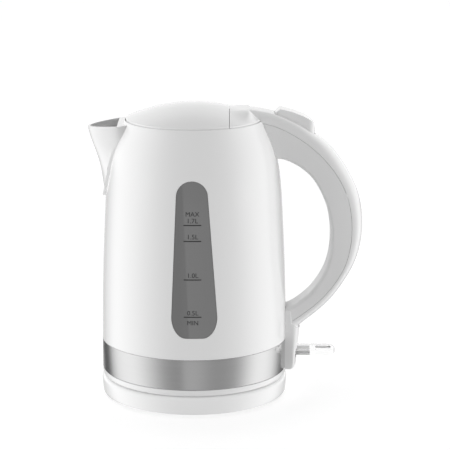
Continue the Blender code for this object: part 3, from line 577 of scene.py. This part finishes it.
def make_window():
    """Smoked lens that follows the wall."""
    heights = [40 + 140 * i / 40 for i in range(41)]
    outer = [(body_radius(z) - LENS_DEPTH, z) for z in heights]
    inner = [(body_radius(z) - 2.3, z) for z in reversed(heights)]
    lens = to_object("window", lathe(raised(outer + inner, SEAT), 240))
    apply_boolean(lens, window_solid(0.12), "INTERSECT")
    soften(lens, 0.3)
    dress(lens, "kettle", MATERIALS["smoked_window"], "smoked_window", "window_lens")


def on_window(x, z):
    """Depth of the window's outer face at a place on it."""
    return -math.sqrt((body_radius(z) - LENS_DEPTH) ** 2 - x * x)


def make_gauge():
    """Level lines and figures, printed a tenth of a millimetre proud of the window."""
    data = bmesh.new()
    for height in (138.3, 125.7, 95.1, 65.2):
        places = [-7.0 + 13.8 * i / 12 for i in range(13)]
        add_print(data, [[(x, height - 0.42), (x, height + 0.42)] for x in places])
    for text, x, z, size in (("MAX", -0.1, 145.3, 5.1), ("1.7L", -0.1, 140.0, 5.3), ("1.5L", 0.0, 127.4, 5.3),
                             ("1.0L", 0.0, 96.8, 5.3), ("0.5L", 0.0, 66.7, 5.3), ("MIN", 0.0, 58.8, 5.1)):
        add_text(data, text, x, z, size)
    marks = to_object("gauge_marks", data, 20.0)
    dress(marks, "kettle", MATERIALS["print"], "smoked_window")


def add_print(data, rows):
    """A strip of quads wrapped on the window, with a tenth of a millimetre of thickness."""
    skins = []
    for lift in (-0.02, 0.08):
        skins.append([[data.verts.new((x, on_window(x, z) - lift, z + SEAT)) for x, z in row] for row in rows])
    low, high = skins
    for skin in skins:
        for a, b in zip(skin, skin[1:]):
            data.faces.new((a[0], a[1], b[1], b[0]))
    for a, b, c, d in zip(low, low[1:], high, high[1:]):
        data.faces.new((a[0], b[0], d[0], c[0]))
        data.faces.new((a[1], b[1], d[1], c[1]))
    data.faces.new((low[0][0], low[0][1], high[0][1], high[0][0]))
    data.faces.new((low[-1][0], low[-1][1], high[-1][1], high[-1][0]))


def add_text(data, text, x, z, size):
    """Figures from Blender's own font, thickened and wrapped on the window."""
    curve = bpy.data.curves.new("figures", "FONT")
    curve.body = text
    curve.size = size
    curve.align_x = "CENTER"
    curve.extrude = 0.05
    curve.resolution_u = 3
    curve.offset = -0.02
    item = bpy.data.objects.new("figures", curve)
    bpy.context.scene.collection.objects.link(item)
    bpy.context.view_layer.update()
    mesh = bpy.data.meshes.new_from_object(item.evaluated_get(bpy.context.evaluated_depsgraph_get()))
    part = bmesh.new()
    part.from_mesh(mesh)
    copies = {}
    for vertex in part.verts:
        px = x + vertex.co.x
        pz = z + vertex.co.y
        copies[vertex] = data.verts.new((px, on_window(px, pz) - 0.03 - vertex.co.z, pz + SEAT))
    for face in part.faces:
        data.faces.new([copies[vertex] for vertex in face.verts])
    part.free()
    bpy.data.objects.remove(item)
    bpy.data.curves.remove(curve)
    bpy.data.meshes.remove(mesh)


def make_band_and_bottom():
    """Brushed band, open behind the switch column, and the white ring under it."""
    outline = rounded([(74.75, 5.4, 0.15), (75.5, 5.4, 0.3), (75.5, 29.9, 0.3), (74.75, 29.9, 0.15)], 4)
    steps = 300
    gap = math.asin(11.2 / 75.5)
    rings = []
    for i in range(steps + 1):
        angle = gap + (2.0 * math.pi - 2.0 * gap) * i / steps
        rings.append([(r * math.cos(angle), r * math.sin(angle), z + SEAT) for r, z in outline])
    band = to_object("steel_band_skin", grid(rings))
    shade(band, 30.0)
    dress(band, "kettle", MATERIALS["brushed_steel"], "brushed_steel", "steel_band")

    outline = [(70.5, 0.0), (73.6, 0.0), (74.3, 0.15), (74.8, 0.5), (75.15, 1.1), (75.35, 1.9), (75.4, 2.8),
               (75.4, 4.9), (75.2, 5.1), (50, 5.1), (31, 9.4), (23, 9.4), (23, 7.4), (31, 7.4), (50, 3.1), (70.0, 3.1),
               (70.3, 0.2)]
    ring = to_object("jug_foot", lathe(raised(outline, SEAT), 192))
    shade(ring, 30.0)
    dress(ring, "kettle", MATERIALS["white_plastic"], "white_plastic", "kettle_bottom_cover")


# ------------------------------------------------------------------ handle

HALF_WIDTH = 12.5
GRIP_INNER = [(63.5, 180.0), (67.9, 179.5), (72.4, 178.7), (80.4, 175.5), (86.0, 172.2), (90.6, 168.6), (96.5, 162.5),
              (100.6, 156.1), (104.0, 149.4), (106.8, 142.5), (109.0, 134.5), (110.6, 125.7), (111.3, 115.5),
              (110.8, 105.0), (109.0, 95.0), (105.8, 85.8), (100.6, 76.6), (95.0, 69.3), (88.2, 63.0),
              (82.5, 58.8), (76.3, 55.6), (71.5, 53.8)]
GRIP_PARTING = [(52.5, 209.4), (58.2, 207.9), (63.4, 206.5), (74.0, 202.1), (86.2, 195.1), (96.1, 187.6),
                (105.5, 178.5), (113.0, 169.4), (119.1, 159.6), (123.5, 149.7), (126.4, 139.1), (127.8, 128.0),
                (128.0, 116.7), (126.7, 105.0), (123.6, 93.0), (115.2, 77.0), (101.3, 60.8), (88.0, 50.1),
                (80.1, 44.6), (75.0, 41.5)]
GRIP_OUTER = [(57.5, 217.5), (66.0, 215.6), (73.5, 212.6), (81.5, 208.8), (89.5, 204.2), (97.0, 199.2), (104.5, 193.6),
              (111.3, 187.2), (119.1, 177.6), (125.4, 167.6), (130.5, 157.6), (134.0, 147.9), (136.1, 138.0),
              (137.1, 125.0), (136.2, 111.7), (134.2, 101.5), (129.8, 89.4), (124.0, 78.8), (117.8, 69.3),
              (111.4, 61.4), (104.5, 54.4), (97.0, 48.0), (91.0, 43.2), (86.0, 38.9)]
inner_curve = curve_through(GRIP_INNER)
parting_curve = curve_through(GRIP_PARTING)
outer_curve = curve_through(GRIP_OUTER)


def grip_ring(t):
    """Solid section of the inner half: flat sides and a rounded finger side."""
    a = Vector(inner_curve(t))
    b = Vector(parting_curve(t))
    across = b - a
    length = across.length
    across.normalize()
    shape = rounded([(length, HALF_WIDTH, 0.4), (0, HALF_WIDTH, 3.2), (0, -HALF_WIDTH, 3.2),
                     (length, -HALF_WIDTH, 0.4)], 6)
    return [(a.x + across.x * n, y, a.y + across.y * n + SEAT) for n, y in shape]


def crown(t, width, base, rise):
    """Half section of the outer half: boxy where t is 0, nearly elliptical where it is 1."""
    steps = 36
    power = 0.32 + 0.56 * t
    points = []
    for i in range(steps + 1):
        angle = math.pi * i / steps
        side = math.cos(angle)
        points.append((base + rise * abs(math.sin(angle)) ** power, width * math.copysign(abs(side) ** power, side)))
    return points


def cover_ring(t):
    """Solid section of the outer half: a crown that springs from the flat sides."""
    b = Vector(parting_curve(t))
    c = Vector(outer_curve(t))
    across = c - b
    length = across.length
    across.normalize()
    roundness = min(1.0, max(0.0, (t - 0.14) / 0.2))
    start = 0.2
    return [(b.x + across.x * n, y, b.y + across.y * n + SEAT)
            for n, y in crown(roundness, HALF_WIDTH, start, length - start)]


def column_ring(height, rear, side_x, slant=0.0):
    """Plan outline of the switch column: it hugs the jug, with flat sides and a rounded rear."""
    half = 13.0
    outline = []
    for i in range(-6, 7):
        y = half * i / 6
        outline.append((math.sqrt(75.3 ** 2 - y * y), y))
    depth = rear - side_x
    corner = []
    for i in range(11):
        angle = math.pi / 2 * i / 10
        x = side_x + depth * math.sin(angle) ** 0.8
        y = half * math.cos(angle) ** 0.8
        corner.append((x, y))
    outline += corner + [(x, -y) for x, y in reversed(corner[:-1])]
    return [(x, y, height - slant * max(0.0, x - 81.1) + SEAT) for x, y in outline]


def make_handle_frame():
    """Grip and switch column in one moulding, with the lever slot."""
    grip = to_object("handle_frame_skin", grid([grip_ring(i / 70) for i in range(71)]))
    levels = [(3.9, 80.9, 78.4), (4.2, 81.8, 79.0), (4.9, 82.7, 79.5), (6.2, 83.4, 79.9), (8.5, 83.8, 80.1),
              (13, 84.1, 80.2), (19, 84.8, 80.1), (25.3, 85.6, 80.0), (33, 86.3, 79.9), (38, 86.7, 79.8)]
    rings = [column_ring(*level) for level in levels]
    rings.append(column_ring(42.0, 87.0, 79.7, 0.9))
    rings += [column_ring(42.6, 81.0, 79.0), column_ring(53.0, 80.0, 78.6)]
    apply_boolean(grip, grid(rings), "UNION")
    apply_boolean(grip, box_mesh((70, 83.0), (-10.6, 10.6), (SEAT + 9, SEAT + 28)))
    slot = rounded([(-10.6, 13.3, 1.0), (10.6, 13.3, 1.0), (10.6, 20.0, 1.0), (-10.6, 20.0, 1.0)], 4)
    apply_boolean(grip, prism([(y, z + SEAT) for y, z in slot], 80.0, 92.0, "X"))
    heights = [28 + (208 - 28) * i / 40 for i in range(41)]
    hollow = [(0, 28)] + [(body_radius(max(z, WALL_FOOT)) + 0.1, z) for z in heights] + [(0, 208)]
    apply_boolean(grip, lathe(raised(hollow, SEAT), 176))
    soften(grip, 0.25)
    dress(grip, "kettle", MATERIALS["handle_plastic"], "handle_plastic", "handle_frame")


LID_RADIUS = 54.65
LID_EDGE = 211.7
LID_APEX = 223.3
HINGE_X = 26.6
HINGE_Z = 217.6
LID_REAR = 28.6                     # the straight seam between the lid and the fixed cap
CAP_FRONT = 28.95


def dome_height(radius):
    """Height of the shallow dome that the lid and the fixed cap share."""
    return LID_APEX - (LID_APEX - LID_EDGE) * (radius / LID_RADIUS) ** 2


def keep_beyond(data, x):
    """Cut away what a solid has below X, and close the cut."""
    geometry = list(data.verts) + list(data.edges) + list(data.faces)
    cut = bmesh.ops.bisect_plane(data, geom=geometry, plane_co=(x, 0, 0), plane_no=(-1, 0, 0), clear_outer=True)
    edges = [item for item in cut["geom_cut"] if isinstance(item, bmesh.types.BMEdge)]
    bmesh.ops.edgenet_fill(data, edges=edges)


def dome_outline(thickness, first=0.0):
    """Section of the dome shell with a rounded outer edge."""
    steps = 26
    outer = []
    for i in range(steps + 1):
        radius = first + (LID_RADIUS - 0.6 - first) * i / steps
        outer.append((radius, dome_height(radius)))
    edge = [(LID_RADIUS - 0.3, LID_EDGE - 0.03), (LID_RADIUS - 0.1, LID_EDGE - 0.2), (LID_RADIUS, LID_EDGE - 0.5)]
    inner = [(radius - 0.3, height - thickness) for radius, height in outer[-3:0:-1]]
    return outer, edge, inner


def hump_ring(x, low, top):
    """Section of the handle's crown where it runs forward over the fixed cap."""
    return [(x, y, z + SEAT) for z, y in crown(0.0, HALF_WIDTH, low, top - low)]


def shoulder_rise(x, y):
    """How far the fixed cap swells above the plain dome beside the handle's crown."""
    height = float(np.interp(x, [29.3, 33.0, 38.0, 44.3, 54.4], [0.0, 0.9, 2.4, 4.4, 0.0]))
    away = min(1.0, max(0.0, abs(y) - HALF_WIDTH) / 24.0)
    edge = min(1.0, max(0.0, LID_RADIUS - math.hypot(x, y)) / 5.0)
    return height * (1.0 - away * away * (3.0 - 2.0 * away)) * edge


def make_handle_cover():
    """Outer half of the handle in one moulding with the fixed cap behind the lid."""
    rings = [cover_ring(i / 90) for i in range(91)]
    lead = [(31.0, 212.5, 218.2), (35.0, 212.3, 218.85), (39.0, 212.0, 219.2), (44.0, 211.4, 219.45),
            (49.0, 210.9, 219.0)]
    hump = [hump_ring(*station) for station in lead]
    cover = to_object("handle_cover_skin", grid(hump + rings))
    outer, edge, inner = dome_outline(2.5, 24.0)
    profile = outer + edge + [(LID_RADIUS, 209.2), (LID_RADIUS - 2.4, 209.2)] + inner
    cap = lathe(raised(profile, SEAT), 352)
    for vertex in cap.verts:
        x, y, z = vertex.co
        if z - SEAT > dome_height(math.hypot(x, y)) - 0.6:
            level = float(np.interp(x, [30.0, 37.0], [0.0, 1.0]))
            flat = dome_height(math.hypot(x, max(abs(y), HALF_WIDTH))) - 0.15
            under = min(0.0, flat - dome_height(math.hypot(x, y))) if abs(y) < HALF_WIDTH else 0.0
            vertex.co.z = z + shoulder_rise(x, y) + level * under
    keep_beyond(cap, CAP_FRONT)
    apply_boolean(cover, cap, "UNION")
    sweep = [(0, -44)] + [(hinge_sweep(y), y) for y in range(-44, 45, 4)] + [(0, 44)]
    apply_boolean(cover, along_y(lathe(sweep, 48), HINGE_X, HINGE_Z + SEAT))
    for side in (-1, 1):
        ends = sorted((side * 8.6, side * 11.6))
        apply_boolean(cover, prism(ear_outline(), *ends, "Y"), "UNION")
    opening = rounded([(65.2, -8.9, 3.3), (97.9, -8.9, 5.3), (97.9, 8.9, 5.3), (65.2, 8.9, 3.3)], 8)
    apply_boolean(cover, prism(opening, SEAT + 190.0, SEAT + 230.0))
    soften(cover, 0.2)
    dress(cover, "kettle", MATERIALS["white_plastic"], "white_plastic", "handle_cover")


def hinge_sweep(y):
    """Radius about the hinge that the lid's rear edge needs at a distance from the middle."""
    above = max(0.0, dome_height(math.hypot(LID_REAR, y)) - HINGE_Z)
    return math.hypot(LID_REAR - HINGE_X, above) + 0.15


def ear_outline():
    """Hinge ear reaching forward from under the cap to the hinge pin."""
    points = [(33.0, 214.6 + SEAT), (30.0, 214.4 + SEAT)]
    for i in range(17):
        angle = math.radians(-10 + 200 * i / 16)
        points.append((HINGE_X + 1.6 * math.cos(angle), HINGE_Z + SEAT + 1.6 * math.sin(angle)))
    points += [(25.4, 215.6 + SEAT), (29.6, 212.6 + SEAT), (33.0, 212.6 + SEAT)]
    return points


# ------------------------------------------------------------------ lid, button and lever

def make_lid():
    """Domed lid with its hinge rib, cut straight along the seam."""
    outer, edge, inner = dome_outline(2.3)
    outline = outer + edge + [(LID_RADIUS, 209.0), (51.6, 209.0), (51.6, 210.2)] + inner + [(0, LID_APEX - 2.3)]
    lid = to_object("lid_dome", lathe(raised(outline, SEAT), 176))
    rib = [(22.5, dome_height(26) - 0.3), (28.9, dome_height(31.6) - 0.3), (28.9, 215.3), (22.5, 215.3)]
    apply_boolean(lid, prism([(x, z + SEAT) for x, z in rib], -15.0, 15.0, "Y"), "UNION")
    apply_boolean(lid, box_mesh((LID_REAR, 70), (-70, 70), (SEAT + 190, SEAT + 240)))
    apply_boolean(lid, along_y(rod(1.2, -12.8, 12.8), HINGE_X, HINGE_Z + SEAT))
    for side in (-1, 1):
        ends = sorted((side * 8.2, side * 12.0))
        apply_boolean(lid, box_mesh((24.2, 32), ends, (SEAT + 200, SEAT + 219.3)))
    soften(lid, 0.2)
    dress(lid, "lid", MATERIALS["white_plastic"], "white_plastic", "lid_shell")


def make_button():
    """Lid button: a long key with a sloping front, rounded top edges and a skirt in its opening."""
    outline = rounded([(65.6, 209.3), (97.5, 195.5), (97.5, 203.0), (96.9, 207.2, 2.0), (93.9, 210.4, 3.0),
                       (88.7, 213.5), (80.1, 216.9), (69.6, 219.5, 1.0), (65.6, 216.3, 0.6)], 5)
    button = to_object("lid_key", prism([(x, z + SEAT) for x, z in outline], -8.5, 8.5, "Y"))
    plan = rounded([(65.6, -8.5, 3.0), (97.5, -8.5, 5.0), (97.5, 8.5, 5.0), (65.6, 8.5, 3.0)], 8)
    apply_boolean(button, prism(plan, SEAT + 190.0, SEAT + 225.0), "INTERSECT")
    lug = [(66.5, 210.0), (70.5, 210.0), (70.5, 207.2), (68.1, 204.8), (66.5, 206.4)]
    apply_boolean(button, prism([(x, z + SEAT) for x, z in lug], -3.6, 3.6, "Y"), "UNION")
    soften(button, 0.7, segments=3)
    dress(button, "lid_button", MATERIALS["white_plastic"], "white_plastic", "lid_button")


LEVER_PIN = (79.5, 17.3 + SEAT)     # X and height of the pin that the lever turns on


def make_lever():
    """Clear switch lever with a finger dimple, a rounded tip and its grey stem inside."""
    low = LEVER_PIN[1] - 2.0
    high = LEVER_PIN[1] + 2.0
    outline = [(71.5, -10.0)]
    for i in range(17):
        angle = -math.pi / 2 + math.pi * i / 16
        outline.append((107.4 + 8.5 * abs(math.cos(angle)) ** 0.8, 10.0 * math.sin(angle)))
    outline += [(71.5, 10.0)]
    lever = to_object("switch_lever_skin", prism(outline, low, high))
    apply_boolean(lever, along_y(rod(1.3, -14, 14), *LEVER_PIN))
    dimple = bmesh.new()
    bmesh.ops.create_uvsphere(dimple, u_segments=48, v_segments=24, radius=1.0)
    bmesh.ops.scale(dimple, vec=(6.6, 6.0, 1.7), verts=dimple.verts)
    bmesh.ops.translate(dimple, vec=(106.2, 0.0, high + 0.35), verts=dimple.verts)
    apply_boolean(lever, dimple)
    soften(lever, 0.8, segments=3)
    dress(lever, "lever", MATERIALS["clear_acrylic"], "clear_acrylic", "switch_lever")
    stem = to_object("lever_stem", prism(rounded([(73.0, -5.5, 0.6), (95.2, -5.5, 0.6), (95.2, 5.5, 0.6),
                                                  (73.0, 5.5, 0.6)], 3), low + 0.7, low + 2.2))
    apply_boolean(stem, along_y(rod(1.5, -14, 14), *LEVER_PIN))
    shade(stem, 30.0)
    dress(stem, "lever", MATERIALS["stem"], "clear_acrylic")


# ------------------------------------------------------------------ carried-over CAD nodes

def dress_frame():
    """Give every CAD node that stays visible the procedural material of its record slot."""
    slots = {part["node"]: part["material_slot"] for part in frame["record"]["subparts"]}
    for name, item in frame["nodes"].items():
        material = MATERIALS["plate_steel"] if name == "heating_plate" else MATERIALS[slots[name]]
        item.data.materials.clear()
        item.data.materials.append(material)


# ------------------------------------------------------------------ studio

CAMERA_PLACE = (25.3, -1519.9, 465.8)
CAMERA_PITCH = 12.66
LENS = 152.8


def make_camera():
    """Long lens, a little above the object and tilted down."""
    data = bpy.data.cameras.new("camera")
    data.lens = LENS
    data.sensor_width = 36.0
    data.clip_end = 50.0
    camera = bpy.data.objects.new("camera", data)
    x, y, z = CAMERA_PLACE
    camera.location = (x * MM, y * MM, (z + RIM_PLANE) * MM)
    camera.rotation_euler = (math.radians(90.0 - CAMERA_PITCH), 0.0, 0.0)
    bpy.context.scene.collection.objects.link(camera)
    bpy.context.scene.camera = camera


def add_area(name, place, target, size, power, glossy=True):
    """Soft panel light aimed at a point, in metres and watts."""
    data = bpy.data.lights.new(name, "AREA")
    data.shape = "RECTANGLE"
    data.size, data.size_y = size
    data.energy = power
    light = bpy.data.objects.new(name, data)
    light.location = place
    light.rotation_euler = (Vector(target) - Vector(place)).to_track_quat("-Z", "Y").to_euler()
    light.visible_glossy = glossy
    bpy.context.scene.collection.objects.link(light)


def calculate(tree, operation, *inputs):
    """Result of a Math node whose inputs are numbers or links."""
    node = tree.nodes.new("ShaderNodeMath")
    node.operation = operation
    for i, value in enumerate(inputs):
        if isinstance(value, (int, float)):
            node.inputs[i].default_value = value
        else:
            tree.links.new(value, node.inputs[i])
    return node.outputs["Value"]


def azimuth_ramp(tree, source, stops):
    """Grey tones round the room, from a table of stops."""
    ramp = tree.nodes.new("ShaderNodeValToRGB")
    elements = ramp.color_ramp.elements
    while len(elements) < len(stops):
        elements.new(0.5)
    for element, (degrees, value) in zip(elements, stops):
        element.position = (degrees + 180.0) / 360.0
        element.color = (value, value, value, 1.0)
    tree.links.new(source, ramp.inputs["Fac"])
    return ramp.outputs["Color"]


def blend(tree, height, low, high, first, second):
    """Mix from the first colour to the second as the direction's height goes from low to high."""
    spread = tree.nodes.new("ShaderNodeMapRange")
    spread.interpolation_type = "SMOOTHSTEP"
    spread.inputs["From Min"].default_value = low
    spread.inputs["From Max"].default_value = high
    tree.links.new(height, spread.inputs["Value"])
    mix = tree.nodes.new("ShaderNodeMix")
    mix.data_type = "RGBA"
    tree.links.new(spread.outputs["Result"], mix.inputs["Factor"])
    colours = [socket for socket in mix.inputs if socket.type == "RGBA"]
    for socket, value in zip(colours, (first, second)):
        if isinstance(value, tuple):
            socket.default_value = value
        else:
            tree.links.new(value, socket)
    return next(socket for socket in mix.outputs if socket.type == "RGBA")


# Tones seen by surfaces that face below and above the level, as (degrees to the right of the camera, tone).
TABLE_TONES = [(-180, 0.95), (-166, 0.70), (-152, 0.12), (-134, 0.13), (-122, 0.75), (-110, 1.12), (-96, 1.22),
               (-82, 1.22), (-70, 1.10), (-59, 0.90), (-48, 0.68), (-38, 0.48), (-28, 0.38), (-16, 0.34),
               (-12, 0.52), (1, 0.52), (11, 0.47), (20, 0.40), (30, 0.37), (40, 0.39), (51, 0.45), (61, 0.65),
               (73, 1.0), (85, 1.22), (99, 1.25), (115, 1.05), (127, 0.60), (138, 0.20), (153, 0.12), (167, 0.70),
               (180, 0.95)]
ROOM_TONES = [(-180, 1.1), (-120, 1.2), (-90, 1.35), (-65, 1.2), (-48, 0.75), (-30, 0.42), (-14, 0.36), (2, 0.34),
              (20, 0.26), (42, 0.30), (60, 0.60), (76, 1.05), (92, 1.2), (120, 1.1), (180, 1.1)]


def make_world():
    """Studio surroundings: bright walls at the sides and behind, a darker room behind the camera."""
    world = bpy.data.worlds.new("studio")
    bpy.context.scene.world = world
    world.use_nodes = True
    tree = world.node_tree
    place = tree.nodes.new("ShaderNodeTexCoord")
    split = tree.nodes.new("ShaderNodeSeparateXYZ")
    tree.links.new(place.outputs["Generated"], split.inputs["Vector"])
    front = calculate(tree, "MULTIPLY", split.outputs["Y"], -1.0)
    angle = calculate(tree, "ARCTAN2", split.outputs["X"], front)
    turn = calculate(tree, "DIVIDE", angle, 2.0 * math.pi)
    around = calculate(tree, "ADD", turn, 0.5)
    table = azimuth_ramp(tree, around, TABLE_TONES)
    room = azimuth_ramp(tree, around, ROOM_TONES)
    height = split.outputs["Z"]
    lower = blend(tree, height, -0.10, 0.02, table, room)
    whole = blend(tree, height, 0.55, 0.85, lower, (0.5, 0.5, 0.5, 1.0))
    background = tree.nodes["Background"]
    tree.links.new(whole, background.inputs["Color"])
    background.inputs["Strength"].default_value = 1.0


def make_studio():
    """Pale floor that the reflections ignore, as on a light table, and soft lights."""
    data = bmesh.new()
    bmesh.ops.create_grid(data, x_segments=2, y_segments=2, size=30.0 / MM)
    floor = to_object("floor", data)
    material, shader, tree = new_material("floor_paper", (0.9, 0.9, 0.9), 0.9)
    noise = link_noise(tree, 200.0)
    link_range(tree, noise.outputs["Fac"], 0.85, 0.95, shader.inputs["Roughness"])
    shader.inputs["Emission Color"].default_value = (1.0, 1.0, 1.0, 1.0)
    shader.inputs["Emission Strength"].default_value = 0.35
    floor.data.materials.append(material)
    floor.visible_glossy = False
    floor.visible_diffuse = False
    make_world()
    add_area("top_light", (0.0, 0.1, 1.6), (0.0, 0.0, 0.1), (1.6, 1.6), 0.7)
    add_area("left_wash", (-2.07, -0.75, 0.16), (0.0, 0.0, 0.13), (1.2, 0.5), 20.5, False)
    add_area("right_wash", (2.07, -0.75, 0.16), (0.0, 0.0, 0.13), (1.2, 0.5), 23.5, False)
    bpy.context.scene.view_settings.view_transform = "Standard"


MATERIALS = make_materials()
make_camera()
make_studio()
dress_frame()
make_base()
make_jug()
make_window()
make_gauge()
make_band_and_bottom()
make_handle_frame()
make_handle_cover()
make_lid()
make_button()
make_lever()
